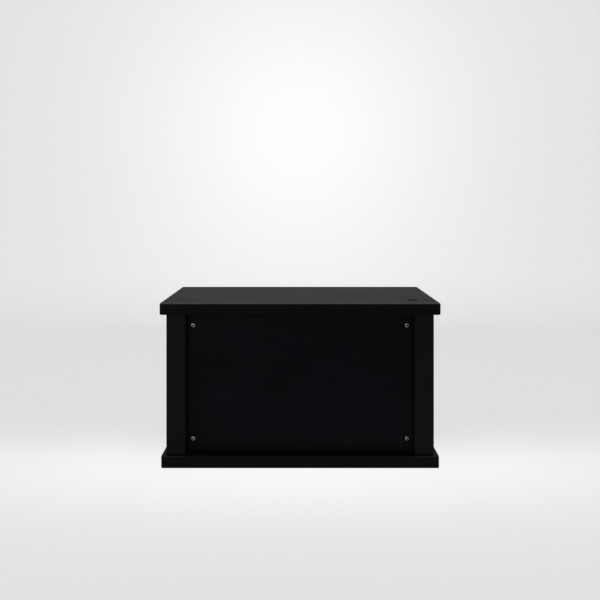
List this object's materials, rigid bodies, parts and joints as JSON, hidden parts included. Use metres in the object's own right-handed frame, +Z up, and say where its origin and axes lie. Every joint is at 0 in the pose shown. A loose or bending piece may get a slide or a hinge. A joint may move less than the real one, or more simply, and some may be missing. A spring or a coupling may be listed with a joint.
{
  "type": "apple box",
  "caption": "Black painted wooden apple box: overhanging top and base plates, framed recessed panels, a screwed lift-off front panel, end hand holes and a round hole in the top.",
  "frame": {"origin": "centre of the footprint on the floor", "axes": "+X to the right of someone facing the front panel, the long way; +Y from the front to the back; +Z up"},
  "size_m": [0.51, 0.3, 0.3],
  "materials": {
    "black_paint": "satin black paint on plywood and hardwood",
    "bare_plywood": "bare birch plywood",
    "bare_softwood": "bare planed pine",
    "beech": "fluted beech dowel",
    "brass": "turned brass",
    "bright_steel": "bright nickel-plated steel",
    "zinc_steel": "zinc-plated steel"
  },
  "bodies": {
    "carcass": {"top_plate": "black_paint", "base_plate": "black_paint", "left_end_panel": "black_paint", "right_end_panel": "black_paint", "front_left_stile": "black_paint", "front_right_stile": "black_paint", "back_left_stile": "black_paint", "back_right_stile": "black_paint", "back_panel": "black_paint", "centre_rib": "bare_plywood", "back_left_batten": "bare_softwood", "back_right_batten": "bare_softwood", "upper_left_screw_block": "bare_softwood", "upper_right_screw_block": "bare_softwood", "lower_left_screw_block": "bare_softwood", "lower_right_screw_block": "bare_softwood", "threaded_inserts": "brass", "base_screws": "zinc_steel", "top_dowels": "beech", "stile_dowels": "beech"},
    "front_panel": {"front_panel": "black_paint"},
    "panel_screws": {"panel_screws": "bright_steel"}
  },
  "joints": [
    {"name": "front_panel_lift_off", "type": "slide", "parent": "carcass", "child": "front_panel", "axis": [0, -1, 0], "range_m": [0, 0.3]},
    {"name": "panel_screws_draw", "type": "slide", "parent": "front_panel", "child": "panel_screws", "axis": [0, -1, 0], "range_m": [0, 0.02]}
  ]
}
